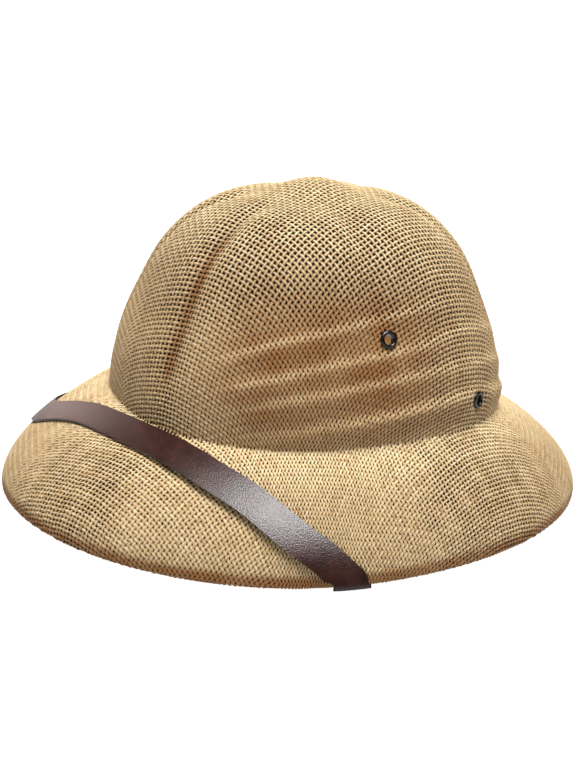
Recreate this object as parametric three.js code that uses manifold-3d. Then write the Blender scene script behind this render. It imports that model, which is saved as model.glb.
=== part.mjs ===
// Pith helmet: one blocked straw shell, four vent eyelets, a chin strap and its two studs.
// Millimetres. +Z is up, the front of the brim points along -Y, the wearer's left is +X.
// The origin is on the floor, under the middle of the hat.

import * as THREE from 'three';
import { mergeVertices } from 'three/addons/utils/BufferGeometryUtils.js';
import Module from 'manifold-3d';

// Every angle "around" is in degrees from the front towards the wearer's left.

const WALL = 2.5;
const CLEARANCE = 0.3;

// The rim is a superellipse in plan. It rests on the floor at the rear and on the strap at the sides.
const RIM = {
  halfLength: 174.3,
  halfWidth: 138.5,
  planPower: 2.03,
  hemRadius: 2.0,
  frontHeight: 15.7,
  sideHeight: 1.8,
  rearHeight: 0,
  rearFlat: 0.88,
};

// The crown stands on the brim along its base line and is centred a little behind the rim.
const CROWN = {
  halfWidth: 104.6,
  frontLength: 111.4,
  rearLength: 113.4,
  centreY: 2.5,
  lean: 4.1,
  planPower: 2.2,
  frontBase: 67.0,
  sideBase: 64.5,
  rearBase: 57.2,
  height: 118.6,
};

// Reach of the crown's side at each angle above the base line, against a plain ellipse.
const CROWN_PROFILE = [
  { at: 0, reach: 1.0 },
  { at: 15, reach: 1.005 },
  { at: 30, reach: 1.01 },
  { at: 45, reach: 1.045 },
  { at: 60, reach: 1.05 },
  { at: 75, reach: 1.005 },
  { at: 90, reach: 1.0 },
];

// The low round cap pressed up at the very top.
const CAP = { radius: 30.8, height: 4.2 };

// How the brim falls from the base line to the rim: part straight, part round shoulder.
const BRIM = {
  frontStraight: 0.42,
  sideStraight: 0.55,
  rearStraight: 0.6,
  frontPower: 2.2,
  sidePower: 2.3,
  rearPower: 2.2,
};

// Six pressed valleys run down from the cap and part the crown into six panels.
const CREASES = [
  { around: 30, depth: 2.3, foot: 12 },
  { around: 90, depth: 2.4, foot: 28 },
  { around: 150, depth: 2.3, foot: 16 },
];
const CREASE_HALF_WIDTH = 6.5;
const CREASE_TOP = 76;
const CREASE_FADE = 12;

// Four turban folds cross each side. Their lips lie at these angles above the base line.
const FOLD_LINES = [
  { at: 0, a: 19.0, b: 12.0, c: 7.0, d: 3.0 },
  { at: 36, a: 20.5, b: 13.0, c: 7.6, d: 1.7 },
  { at: 48, a: 24.2, b: 15.9, c: 9.7, d: 2.5 },
  { at: 60, a: 27.7, b: 18.5, c: 12.4, d: 4.0 },
  { at: 75, a: 30.5, b: 21.9, c: 14.8, d: 6.4 },
  { at: 90, a: 32.9, b: 23.6, c: 16.6, d: 7.9 },
  { at: 105, a: 34.6, b: 25.2, c: 17.5, d: 9.3 },
  { at: 120, a: 34.5, b: 26.8, c: 17.3, d: 9.6 },
  { at: 135, a: 32.0, b: 25.0, c: 16.2, d: 8.1 },
  { at: 150, a: 29.0, b: 22.0, c: 14.0, d: 6.2 },
  { at: 180, a: 27.0, b: 20.0, c: 12.5, d: 5.0 },
];
const FOLDS = [
  { line: 'a', height: 1.5, start: 34, full: 52, end: 108, gone: 128 },
  { line: 'b', height: 1.5, start: 38, full: 54, end: 122, gone: 144 },
  { line: 'c', height: 1.4, start: 38, full: 52, end: 138, gone: 156 },
  { line: 'd', height: 2.6, start: 40, full: 62, end: 140, gone: 158 },
];
const FOLD_SHAPE = { above: 6.5, below: 2.6, valleyDrop: 4.8, valleyHalf: 2.8, valleyDepth: 0.6 };
const MM_PER_DEGREE = 2.05;

// Rolled eyelets: one pair high on each side, one pair low in the band under the lowest fold.
const EYELET = { flange: 5.0, barrel: 3.6, bore: 2.75, lip: 1.1, backFlange: 4.7, backLip: 0.8 };
const EYELET_PLACES = [
  { name: 'upper', around: 91.5, above: 27.4 },
  { name: 'lower', around: 123.5, above: 6.7 },
];
const EYELET_FLAT = 7.5;

// The strap's middle line. Reach 0 is the crown's base line and 1 the rim. From 1 to 2 the strap
// turns round the hem, from 2 to 3 it runs back under the brim, and past 3 it climbs the inside
// of the crown. Slant turns its sections from square across (0) to along the rim (1).
const STRAP = { width: 18.6, thickness: 1.7, lift: 0.32, underLift: 0.65 };
const STRAP_INSIDE = [
  { around: 98.0, reach: 3.049, slant: 1 },
  { around: 98.0, reach: 3.001, slant: 1 },
  { around: 98.0, reach: 3.0, slant: 1 },
  { around: 95.2, reach: 2.8, slant: 0.8 },
  { around: 91.6, reach: 2.55, slant: 0.4 },
  { around: 87.6, reach: 2.35, slant: 0.5 },
  { around: 84.4, reach: 2.19, slant: 1 },
  { around: 82.6, reach: 2.08, slant: 1 },
  { around: 81.4, reach: 2.0, slant: 1 },
  { around: 81.2, reach: 1.833, slant: 1 },
  { around: 81.0, reach: 1.667, slant: 1 },
  { around: 80.6, reach: 1.333, slant: 1 },
  { around: 80.4, reach: 1.167, slant: 1 },
  { around: 80.2, reach: 1.0, slant: 1 },
];
const STRAP_OVER_BRIM = [
  { around: 77.9, reach: 0.87, slant: 0.5 },
  { around: 73.2, reach: 0.69, slant: 0.1 },
  { around: 60.4, reach: 0.38, slant: 0 },
  { around: 46.6, reach: 0.218, slant: 0 },
  { around: 37.3, reach: 0.15, slant: 0 },
  { around: 29.0, reach: 0.118, slant: 0 },
  { around: 20.5, reach: 0.11, slant: 0 },
  { around: 11.0, reach: 0.12, slant: 0 },
  { around: 0.9, reach: 0.155, slant: 0 },
  { around: -8.5, reach: 0.225, slant: 0 },
  { around: -21.5, reach: 0.36, slant: 0 },
  { around: -36.0, reach: 0.465, slant: 0 },
  { around: -50.0, reach: 0.54, slant: 0 },
  { around: -63.0, reach: 0.635, slant: 0 },
  { around: -73.2, reach: 0.75, slant: 0.1 },
  { around: -77.9, reach: 0.87, slant: 0.5 },
];

// Plain studs hold the strap's ends to the inside of the crown.
const STUD = { around: 98, above: 2.3, head: 4.2, headThick: 1.4, shank: 2.0, bite: 1.0 };

// Columns of the shell's mesh inside one 60 degree panel, closer together beside a crease.
const PANEL_COLUMNS = [0, 2.6, 6, 11, 17.5, 24, 30, 36, 42.5, 49, 54, 57.4];
const PANEL = 60;

const rad = THREE.MathUtils.degToRad;
const lerp = THREE.MathUtils.lerp;
const clamp = THREE.MathUtils.clamp;
const smoothstep = THREE.MathUtils.smoothstep;

const wasm = await Module();
wasm.setup();

// Smooth curve through one column of a table, by the row's "at" value.
function lookUp(table, column, at) {
  let row = 0;
  while (row < table.length - 2 && table[row + 1].at <= at) row += 1;
  const before = table[Math.max(row - 1, 0)];
  const low = table[row];
  const high = table[row + 1];
  const after = table[Math.min(row + 2, table.length - 1)];
  const span = high.at - low.at;
  const t = clamp((at - low.at) / span, 0, 1);
  const slopeLow = row === 0 ? 0 : (high[column] - before[column]) / (high.at - before.at);
  const last = row + 2 >= table.length;
  const slopeHigh = last ? 0 : (after[column] - low[column]) / (after.at - low.at);
  const t2 = t * t;
  const t3 = t2 * t;
  return low[column] * (2 * t3 - 3 * t2 + 1)
    + slopeLow * span * (t3 - 2 * t2 + t)
    + high[column] * (3 * t2 - 2 * t3)
    + slopeHigh * span * (t3 - t2);
}

// A value that is one thing at the front, another at the sides and a third at the rear.
function roundTheHat(around, front, side, rear, flat = 1) {
  const c = Math.cos(rad(around));
  if (c > 0) return side + (front - side) * c * c;
  return side + (rear - side) * Math.min(1, (c * c) / flat);
}

function signedPower(value, power) {
  return Math.sign(value) * Math.abs(value) ** (2 / power);
}

// The smallest turn between two angles, in degrees.
function turnBetween(one, other) {
  const turn = (((one - other) % 360) + 540) % 360;
  return Math.abs(turn - 180);
}

function rimHeight(around) {
  return roundTheHat(around, RIM.frontHeight, RIM.sideHeight, RIM.rearHeight, RIM.rearFlat);
}

function crownPlan(around) {
  const c = Math.cos(rad(around));
  const s = Math.sin(rad(around));
  const length = c > 0 ? CROWN.frontLength : CROWN.rearLength;
  return [CROWN.halfWidth * signedPower(s, CROWN.planPower), -length * signedPower(c, CROWN.planPower)];
}

function rimPlan(around) {
  const c = Math.cos(rad(around));
  const s = Math.sin(rad(around));
  return [RIM.halfWidth * signedPower(s, RIM.planPower), -RIM.halfLength * signedPower(c, RIM.planPower)];
}

// The crown before it is creased and folded.
function plainCrown(around, above) {
  const [planX, planY] = crownPlan(around);
  const reach = lookUp(CROWN_PROFILE, 'reach', above);
  const out = reach * Math.cos(rad(above));
  const up = reach * Math.sin(rad(above));
  const base = roundTheHat(around, CROWN.frontBase, CROWN.sideBase, CROWN.rearBase);
  const x = planX * out;
  const y = CROWN.centreY + CROWN.lean * up + planY * out;
  const fromTop = Math.hypot(x, y - CROWN.centreY - CROWN.lean);
  const cap = CAP.height * smoothstep(1 - fromTop / CAP.radius, 0, 1);
  const z = base * (1 - up) + (CROWN.sideBase + CROWN.height) * up + cap;
  return new THREE.Vector3(x, y, z);
}

// The upper face of the brim: reach 0 is the base line, 1 is the outermost line of the rim.
function plainBrim(around, reach) {
  const [crownX, crownY] = crownPlan(around);
  const [rimX, rimY] = rimPlan(around);
  const base = roundTheHat(around, CROWN.frontBase, CROWN.sideBase, CROWN.rearBase);
  const rim = rimHeight(around) + RIM.hemRadius;
  const straight = roundTheHat(around, BRIM.frontStraight, BRIM.sideStraight, BRIM.rearStraight);
  const power = roundTheHat(around, BRIM.frontPower, BRIM.sidePower, BRIM.rearPower);
  const out = Math.sin(rad(90 * reach));
  const shoulder = Math.max(1 - out ** power, 0) ** (1 / power);
  const fall = straight * (1 - out) + (1 - straight) * shoulder;
  return new THREE.Vector3(
    lerp(crownX, rimX, out),
    lerp(CROWN.centreY + crownY, rimY, out),
    lerp(rim, base, fall),
  );
}

// Outward normal of a surface given as a function of two values.
function normalOf(surface, first, second, stepFirst, stepSecond) {
  const along = surface(first + stepFirst, second).sub(surface(first - stepFirst, second));
  const down = surface(first, second + stepSecond).sub(surface(first, second - stepSecond));
  return along.cross(down).normalize();
}

function crownNormal(around, above) {
  const safe = Math.min(above, 88);
  return normalOf(plainCrown, around, safe, 0.5, 0.5);
}

function brimNormal(around, reach) {
  const safe = clamp(reach, 0.004, 0.996);
  return normalOf(plainBrim, around, safe, 0.5, -0.003);
}

function creaseRelief(around, above, ringRadius) {
  let relief = 0;
  for (const crease of CREASES) {
    for (const side of [1, -1]) {
      const away = rad(turnBetween(around, side * crease.around)) * ringRadius;
      const top = 1 - smoothstep(above, CREASE_TOP - CREASE_FADE, CREASE_TOP);
      const foot = smoothstep(above, crease.foot - CREASE_FADE / 2, crease.foot + CREASE_FADE);
      relief -= crease.depth * top * foot * Math.exp(-((away / CREASE_HALF_WIDTH) ** 2));
    }
  }
  return relief;
}

function foldRelief(around, above) {
  const side = turnBetween(around, 0);
  let relief = 0;
  for (const fold of FOLDS) {
    const fade = smoothstep(side, fold.start, fold.full) * (1 - smoothstep(side, fold.end, fold.gone));
    const away = (above - lookUp(FOLD_LINES, fold.line, side)) * MM_PER_DEGREE;
    const half = away > 0 ? FOLD_SHAPE.above : FOLD_SHAPE.below;
    const ridge = Math.exp(-((away / half) ** 2));
    const valley = Math.exp(-(((away + FOLD_SHAPE.valleyDrop) / FOLD_SHAPE.valleyHalf) ** 2));
    relief += fold.height * fade * (ridge - FOLD_SHAPE.valleyDepth * valley);
  }
  return relief * smoothstep(above, 0, 1.2);
}

// The straw is pulled flat round each eyelet.
function eyeletFlattening(around, above, ringRadius) {
  let keep = 1;
  for (const place of EYELET_PLACES) {
    const across = rad(turnBetween(turnBetween(around, 0), place.around)) * ringRadius;
    const upward = (above - place.above) * MM_PER_DEGREE;
    keep *= 1 - Math.exp(-((Math.hypot(across, upward) / EYELET_FLAT) ** 4));
  }
  return keep;
}

function crownRelief(around, above) {
  const ringRadius = CROWN.halfWidth * lookUp(CROWN_PROFILE, 'reach', above) * Math.cos(rad(above));
  const pressed = creaseRelief(around, above, ringRadius) + foldRelief(around, above);
  return pressed * eyeletFlattening(around, above, ringRadius);
}

// The crown's face, pushed inwards by a depth to reach the inner face.
function crownFace(around, above, depth) {
  const out = crownNormal(around, above);
  return plainCrown(around, above).addScaledVector(out, crownRelief(around, above) - depth);
}

// The hem is turned under, so the brim thickens to two hem radii at the rim.
const HEM_STEP = { start: 0.65, end: 0.81 };
function brimThickness(reach) {
  const { start, end } = HEM_STEP;
  return lerp(WALL, 2 * RIM.hemRadius, clamp((reach - start) / (end - start), 0, 1));
}

function brimFace(around, reach, depth) {
  return plainBrim(around, reach).addScaledVector(brimNormal(around, reach), -depth);
}

// Level, outward direction of the rim.
function rimOutward(around) {
  const [x0, y0] = rimPlan(around - 0.5);
  const [x1, y1] = rimPlan(around + 0.5);
  return new THREE.Vector3(y0 - y1, x1 - x0, 0).normalize().negate();
}

// A point on the round of the hem, swelled outwards by a lift. Turn 0 is outermost, 180 inner.
const HEM_FLAT_TURN = 60;
function hemFace(around, turn, lift) {
  const radius = RIM.hemRadius;
  const outward = rimOutward(around);
  const point = plainBrim(around, 1).addScaledVector(outward, -radius);
  const drop = Math.min(1, Math.sin(rad(turn)) / Math.sin(rad(HEM_FLAT_TURN)));
  point.addScaledVector(outward, (radius + lift) * Math.cos(rad(turn)));
  point.z -= radius * drop + lift * Math.sin(rad(turn));
  return point;
}

// One long skin round the shell's edge, by the reach values that the strap's route explains.
function skin(around, reach, lift) {
  if (reach <= 1) return brimFace(around, reach, -lift);
  if (reach <= 2) return hemFace(around, (reach - 1) * 180, lift);
  if (reach <= 3) return brimFace(around, 3 - reach, brimThickness(3 - reach) + lift);
  return crownFace(around, (reach - 3) * 90, WALL + lift);
}

// Angles above the base line of the crown's mesh rows, from the top down.
const OUTER_STEPS = 7;
const INNER_STEPS = 5;
function crownRows(around, outside) {
  const side = turnBetween(around, 0);
  const [a, b, c, d] = ['a', 'b', 'c', 'd'].map((line) => lookUp(FOLD_LINES, line, side));
  const rows = [83];
  const steps = outside ? OUTER_STEPS : INNER_STEPS;
  for (let step = 0; step <= steps; step += 1) rows.push(lerp(76, a + 3.2, step / steps));
  if (outside) {
    rows.push(a, a - 2.3, b + 2.4, b, b - 2.3, c + 2.2, c, c - 2.3);
    rows.push(d + 2, d, d * 0.78, d * 0.5, 0);
  } else {
    rows.push(a, a - 2.3, b, b - 2.3, c, c - 2.3, d, d * 0.5, 0);
  }
  return rows;
}

const BRIM_ROWS = [0.09, 0.2, 0.32, 0.45, 0.58, 0.72, 0.86, 1.0];
const HEM_TURNS = [30, 60, 120, 150];
const INNER_BRIM_ROWS = [1.0, HEM_STEP.end, HEM_STEP.start, 0.42, 0.2, 0];

// One column of points, from the top down the outside, round the hem and up the inside.
function shellColumn(around) {
  const points = crownRows(around, true).map((above) => crownFace(around, above, 0));
  points.push(...BRIM_ROWS.map((reach) => brimFace(around, reach, 0)));
  points.push(...HEM_TURNS.map((turn) => hemFace(around, turn, 0)));
  points.push(...INNER_BRIM_ROWS.map((reach) => brimFace(around, reach, brimThickness(reach))));
  const inside = crownRows(around, false).reverse();
  points.push(...inside.map((above) => crownFace(around, above, WALL)));
  return points;
}

// Joins rings of points into a closed body. A ring runs round the section.
function bodyFromGrid(grid, poles) {
  const columns = grid.length;
  const rows = grid[0].length;
  const positions = grid.flat().flatMap((point) => point.toArray());
  const faces = [];
  for (let i = 0; i < columns; i += 1) {
    const here = i * rows;
    const next = ((i + 1) % columns) * rows;
    for (let j = 0; j < rows - 1; j += 1) {
      faces.push(here + j, here + j + 1, next + j + 1, here + j, next + j + 1, next + j);
    }
    faces.push(columns * rows, here, next, columns * rows + 1, next + rows - 1, here + rows - 1);
  }
  for (const pole of poles) positions.push(...pole.toArray());
  const geometry = new THREE.BufferGeometry();
  geometry.setAttribute('position', new THREE.Float32BufferAttribute(positions, 3));
  geometry.setIndex(faces);
  return geometry;
}

function toSolid(geometry) {
  const bare = geometry.clone();
  bare.deleteAttribute('normal');
  bare.deleteAttribute('uv');
  const merged = mergeVertices(bare, 1e-4);
  const vertProperties = new Float32Array(merged.attributes.position.array);
  const triVerts = new Uint32Array(merged.index.array);
  return new wasm.Manifold(new wasm.Mesh({ numProp: 3, vertProperties, triVerts }));
}

function toGeometry(solid) {
  const mesh = solid.getMesh();
  const geometry = new THREE.BufferGeometry();
  geometry.setAttribute('position', new THREE.BufferAttribute(mesh.vertProperties, 3));
  geometry.setIndex(new THREE.BufferAttribute(mesh.triVerts, 1));
  geometry.computeVertexNormals();
  return geometry;
}

// A frame standing on the crown's plain outer face, with its Z axis along the outward normal.
function frameOnCrown(around, above) {
  const out = crownNormal(around, above);
  const turn = new THREE.Quaternion().setFromUnitVectors(new THREE.Vector3(0, 0, 1), out);
  return new THREE.Matrix4().compose(plainCrown(around, above), turn, new THREE.Vector3(1, 1, 1));
}

// A round cutter from one depth to another along a frame's Z axis.
const EYELET_SIDES = 14;
const STUD_SIDES = 12;
function roundCutter(frame, radius, low, high, sides) {
  const cutter = new THREE.CylinderGeometry(radius, radius, high - low, sides);
  cutter.rotateX(Math.PI / 2);
  cutter.translate(0, 0, (low + high) / 2);
  cutter.applyMatrix4(frame);
  return toSolid(cutter);
}

// The shell with its vent holes, the flat seats that the eyelets' lips lie on, and the blind
// pockets that the studs bite into.
const CUT_BEYOND = 6;
function makeShell(ventFrames, studFrames) {
  const columns = [];
  for (let panel = 0; panel < 6; panel += 1) {
    for (const turn of PANEL_COLUMNS) columns.push(shellColumn(panel * PANEL + turn - PANEL / 2));
  }
  const topOutside = plainCrown(0, 90);
  const topInside = topOutside.clone().setZ(topOutside.z - WALL);
  let solid = toSolid(bodyFromGrid(columns, [topOutside, topInside]));
  const hole = EYELET.barrel + CLEARANCE;
  const seat = EYELET.flange + 2 * CLEARANCE;
  for (const frame of ventFrames) {
    solid = solid.subtract(roundCutter(frame, hole, -WALL - CUT_BEYOND, CUT_BEYOND, EYELET_SIDES));
    solid = solid.subtract(roundCutter(frame, seat, 0, CUT_BEYOND, EYELET_SIDES));
    solid = solid.subtract(roundCutter(frame, seat, -WALL - CUT_BEYOND, -WALL, EYELET_SIDES));
  }
  const pocket = STUD.shank + CLEARANCE;
  const pocketTop = -WALL + STUD.bite + CLEARANCE;
  for (const frame of studFrames) {
    solid = solid.subtract(roundCutter(frame, pocket, -WALL - CUT_BEYOND, pocketTop, STUD_SIDES));
  }
  return toGeometry(solid);
}

// Rolled metal eyelet: a rounded lip outside, a barrel through the wall and a lip inside.
function makeEyelet() {
  const outer = CLEARANCE;
  const inner = -WALL - CLEARANCE;
  const outline = [
    [EYELET.bore, inner - EYELET.backLip * 0.4],
    [EYELET.barrel, inner - EYELET.backLip],
    [EYELET.backFlange, inner],
    [EYELET.barrel, inner],
    [EYELET.barrel, outer],
    [EYELET.flange, outer],
    [EYELET.flange - 0.3, outer + EYELET.lip * 0.65],
    [EYELET.barrel + 0.1, outer + EYELET.lip],
    [EYELET.bore, outer + EYELET.lip * 0.4],
    [EYELET.bore, inner - EYELET.backLip * 0.4],
  ];
  const points = outline.map(([radius, height]) => new THREE.Vector2(radius, height));
  const eyelet = new THREE.LatheGeometry(points, EYELET_SIDES);
  eyelet.rotateX(Math.PI / 2);
  return eyelet;
}

// A stud whose head lies inside the strap's end and whose shank bites into the crown's wall.
function makeStud() {
  const underHead = -WALL - STRAP.underLift - STRAP.thickness - 2 * CLEARANCE;
  const outline = [
    [0, -WALL + STUD.bite],
    [STUD.shank, -WALL + STUD.bite],
    [STUD.shank, underHead],
    [STUD.head, underHead],
    [STUD.head * 0.93, underHead - STUD.headThick * 0.6],
    [STUD.head * 0.6, underHead - STUD.headThick],
    [0, underHead - STUD.headThick],
  ];
  const points = outline.map(([radius, height]) => new THREE.Vector2(radius, height)).reverse();
  const stud = new THREE.LatheGeometry(points, STUD_SIDES);
  stud.rotateX(Math.PI / 2);
  return stud;
}

// It lies close on top of the brim and round the hem, and a little looser underneath.
function strapLift(reach) {
  return lerp(STRAP.lift, STRAP.underLift, smoothstep(reach, 1.9, 2.08));
}

// How the skin runs at a place: the steps in space for one degree around and for one unit of reach.
const SLOPE_TURN = 0.2;
const SLOPE_REACH = 0.002;
function skinSlopes(around, reach) {
  const low = Math.max(reach - SLOPE_REACH, 0);
  const high = reach + SLOPE_REACH;
  const perDegree = skin(around + SLOPE_TURN, reach, 0).sub(skin(around - SLOPE_TURN, reach, 0));
  const perReach = skin(around, high, 0).sub(skin(around, low, 0));
  return [perDegree.divideScalar(2 * SLOPE_TURN), perReach.divideScalar(high - low)];
}

// Walks over the skin from a place, in a direction of space, for a distance. It keeps off the
// corner between the brim and the crown.
const WALK_STEPS = 5;
const CORNER_REACH = 0.02;
function walk(start, direction, distance) {
  let { around, reach } = start;
  for (let step = 0; step < WALK_STEPS; step += 1) {
    const [p, q] = skinSlopes(around, reach);
    const move = direction.clone().multiplyScalar(distance / WALK_STEPS);
    const [pp, pq, qq] = [p.dot(p), p.dot(q), q.dot(q)];
    const [pm, qm] = [p.dot(move), q.dot(move)];
    const spread = pp * qq - pq * pq;
    around += (pm * qq - qm * pq) / spread;
    reach = Math.max(reach + (qm * pp - pm * pq) / spread, CORNER_REACH);
  }
  return { around, reach };
}

// The strap's two edges at one station of its route. A slanted section is longer than the width.
const SHARPEST_SLANT = 0.75;
function strapEdges(route, at) {
  const here = { around: lookUp(route, 'around', at), reach: lookUp(route, 'reach', at) };
  const slant = clamp(lookUp(route, 'slant', at), 0, 1);
  const last = route.length - 1;
  const [low, high] = [Math.max(at - 0.5, 0), Math.min(at + 0.5, last)];
  const [p, q] = skinSlopes(here.around, here.reach);
  const turn = lookUp(route, 'around', high) - lookUp(route, 'around', low);
  const advance = lookUp(route, 'reach', high) - lookUp(route, 'reach', low);
  const forward = p.clone().multiplyScalar(turn).addScaledVector(q, advance).normalize();
  const outward = p.clone().cross(q).normalize();
  const square = outward.clone().cross(forward).normalize();
  const level = p.clone().normalize();
  if (level.dot(square) < 0) level.negate();
  const across = square.clone().lerp(level, slant).normalize();
  const half = STRAP.width / 2 / Math.max(across.dot(square), SHARPEST_SLANT);
  return [walk(here, across, half), walk(here, across, -half)];
}

function mirrored(rows) {
  return rows.map((row) => ({ ...row, around: -row.around })).reverse();
}

// The strap is a flat band lofted between its two edges, with four points across each face.
const STRAP_ACROSS = 3;
const STRAP_STEPS = 3;
function makeStrap(studFrames) {
  const rows = [...STRAP_INSIDE, ...STRAP_OVER_BRIM, ...mirrored(STRAP_INSIDE)];
  const route = rows.map((row, index) => ({ at: index, ...row }));
  const stations = [];
  for (let at = 0; at < route.length; at += 1) {
    const overBrim = at >= STRAP_INSIDE.length - 1 && at < route.length - STRAP_INSIDE.length;
    const steps = overBrim ? STRAP_STEPS : 1;
    for (let step = 0; step < steps; step += 1) stations.push(at + step / steps);
  }
  const sections = [];
  for (const at of stations) {
    const [first, second] = strapEdges(route, at);
    const under = [];
    const over = [];
    for (let part = 0; part <= STRAP_ACROSS; part += 1) {
      const around = lerp(first.around, second.around, part / STRAP_ACROSS);
      const reach = lerp(first.reach, second.reach, part / STRAP_ACROSS);
      const lift = strapLift(reach);
      under.push(skin(around, reach, lift));
      over.push(skin(around, reach, lift + STRAP.thickness));
    }
    sections.push([...under, ...over.reverse()]);
  }
  let solid = toSolid(bodyFromSections(sections));
  for (const frame of studFrames) {
    solid = solid.subtract(roundCutter(frame, STUD.shank + CLEARANCE, -WALL - CUT_BEYOND, 0, STUD_SIDES));
  }
  return toGeometry(solid);
}

// Joins a row of closed sections into a body with flat ends.
function bodyFromSections(sections) {
  const count = sections[0].length;
  const positions = sections.flat().flatMap((point) => point.toArray());
  const faces = [];
  for (let i = 0; i < sections.length - 1; i += 1) {
    for (let j = 0; j < count; j += 1) {
      const here = i * count + j;
      const beside = i * count + ((j + 1) % count);
      faces.push(here, beside, beside + count, here, beside + count, here + count);
    }
  }
  const end = (sections.length - 1) * count;
  for (let j = 0; j < count / 2 - 1; j += 1) {
    const k = count - 1 - j;
    faces.push(j, k, j + 1, j + 1, k, k - 1);
    faces.push(end + j, end + j + 1, end + k, end + j + 1, end + k - 1, end + k);
  }
  const geometry = new THREE.BufferGeometry();
  geometry.setAttribute('position', new THREE.Float32BufferAttribute(positions, 3));
  geometry.setIndex(faces);
  return geometry;
}

const straw = new THREE.MeshStandardMaterial({ color: 0xc9a468, roughness: 0.85, metalness: 0.0 });
const gunmetal = new THREE.MeshStandardMaterial({ color: 0x3b3a3c, roughness: 0.35, metalness: 1.0 });
const leather = new THREE.MeshStandardMaterial({ color: 0x5a3a36, roughness: 0.45, metalness: 0.0 });
const brass = new THREE.MeshStandardMaterial({ color: 0x8a6a3a, roughness: 0.4, metalness: 1.0 });

const SIDES = [
  { name: 'left', sign: 1 },
  { name: 'right', sign: -1 },
];
const helmet = new THREE.Group();

function addMesh(name, geometry, material) {
  const mesh = new THREE.Mesh(geometry, material);
  mesh.name = name;
  helmet.add(mesh);
  return mesh;
}

function placeMesh(mesh, frame) {
  frame.decompose(mesh.position, mesh.quaternion, mesh.scale);
}

const vents = SIDES.flatMap((side) => EYELET_PLACES.map((place) => ({
  name: `vent_${side.name}_${place.name}`,
  frame: frameOnCrown(side.sign * place.around, place.above),
})));
const studs = SIDES.map((side) => ({
  name: `strap_stud_${side.name}`,
  frame: frameOnCrown(side.sign * STUD.around, STUD.above),
}));
const ventFrames = vents.map((vent) => vent.frame);
const studFrames = studs.map((stud) => stud.frame);

addMesh('shell', makeShell(ventFrames, studFrames), straw);
for (const vent of vents) placeMesh(addMesh(vent.name, makeEyelet(), gunmetal), vent.frame);
addMesh('chin_strap', makeStrap(studFrames), leather);
for (const stud of studs) placeMesh(addMesh(stud.name, makeStud(), brass), stud.frame);

export default helmet;
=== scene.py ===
# %% [markdown]
# # A woven straw pith helmet
#
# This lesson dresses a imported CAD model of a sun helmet. The real hat starts as one hood of woven
# paper straw. It is steamed over a block, so that crown and brim are one stiff shell, and pressed
# between moulds that leave six valleys down the crown and four folds round each side.
#
# The CAD model already has the right size and the right main shapes, so it is loaded first and
# never changed. Everything below is either a material for one of its nodes or a finer piece that
# stands in for one. Lengths are in metres, Z is up and the front of the brim points along -Y.

# %% Load the frame
import math

import bpy
import numpy as np
from mathutils import Matrix, Vector


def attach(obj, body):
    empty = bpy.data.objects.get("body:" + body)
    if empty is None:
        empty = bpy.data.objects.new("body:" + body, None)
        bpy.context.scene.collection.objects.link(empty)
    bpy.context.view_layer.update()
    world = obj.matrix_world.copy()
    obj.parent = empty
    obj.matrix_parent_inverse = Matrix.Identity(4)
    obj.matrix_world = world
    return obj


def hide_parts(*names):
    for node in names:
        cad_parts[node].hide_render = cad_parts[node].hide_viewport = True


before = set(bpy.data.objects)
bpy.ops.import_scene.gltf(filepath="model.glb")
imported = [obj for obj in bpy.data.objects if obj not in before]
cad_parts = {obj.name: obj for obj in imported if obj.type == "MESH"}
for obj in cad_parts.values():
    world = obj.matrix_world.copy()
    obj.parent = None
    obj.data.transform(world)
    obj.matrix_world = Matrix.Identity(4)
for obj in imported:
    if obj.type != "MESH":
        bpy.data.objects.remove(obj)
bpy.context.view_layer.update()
bpy.ops.object.select_all(action="DESELECT")

MM = 0.001

# %% [markdown]
# ## The camera
#
# The photograph was taken from the wearer's left and a little in front of them, looking down by
# about nineteen degrees. A camera could be placed by eye. These numbers come from fitting the rim
# and the crown's base line to the picture, so they are typed in as an azimuth, an elevation, a
# small roll and a principal point off the middle.

# %% Place the camera
AIM = Vector((0, 1.05 * MM, 70 * MM))
AZIMUTH, ELEVATION, ROLL = 65.0, 19.01, 1.73
DISTANCE = 0.9
FOCAL_PIXELS = 1533.92
MIDDLE_PIXEL = (300.29, 375.47)
PICTURE = (576, 768)
SENSOR = 36.0


def toward(azimuth, elevation):
    """The direction of something seen from the hat. Azimuth 0 is the front, 90 the left."""
    az, el = math.radians(azimuth), math.radians(elevation)
    return Vector((math.sin(az) * math.cos(el), -math.cos(az) * math.cos(el), math.sin(el)))


def aim_camera():
    az, roll = math.radians(AZIMUTH), math.radians(ROLL)
    back = toward(AZIMUTH, ELEVATION)
    right = Vector((math.cos(az), math.sin(az), 0))
    up = back.cross(right)
    rolled_right = right * math.cos(roll) + up * math.sin(roll)
    rolled_up = up * math.cos(roll) - right * math.sin(roll)
    turn = Matrix((rolled_right, rolled_up, back)).transposed()
    bpy.ops.object.camera_add(location=AIM + back * DISTANCE, rotation=turn.to_euler())
    camera = bpy.context.object
    camera.name = "photo_camera"
    lens = camera.data
    lens.sensor_width = SENSOR
    lens.lens = FOCAL_PIXELS / PICTURE[1] * SENSOR
    lens.shift_x = (PICTURE[0] / 2 - MIDDLE_PIXEL[0]) / PICTURE[1]
    lens.shift_y = (MIDDLE_PIXEL[1] - PICTURE[1] / 2) / PICTURE[1]
    lens.clip_end = 20
    bpy.context.scene.camera = camera
    print("camera at", [round(v, 3) for v in camera.location], "lens", round(lens.lens, 1), "mm")


aim_camera()

# %% [markdown]
# ## The form, in numbers
#
# The straw has to lie on the surface that the CAD shell has. A mesh can be measured, but a
# formula is better: it gives a point, a slope and a normal anywhere, as finely as wanted. So the
# shell's own named sizes are written here again, with the same few formulas that use them. Only
# the pressed relief differs. It was read from the photograph again after the CAD was final: the
# front creases lie at 22 degrees here and at 30 in the CAD, and the folds have a sharper lip.

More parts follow.
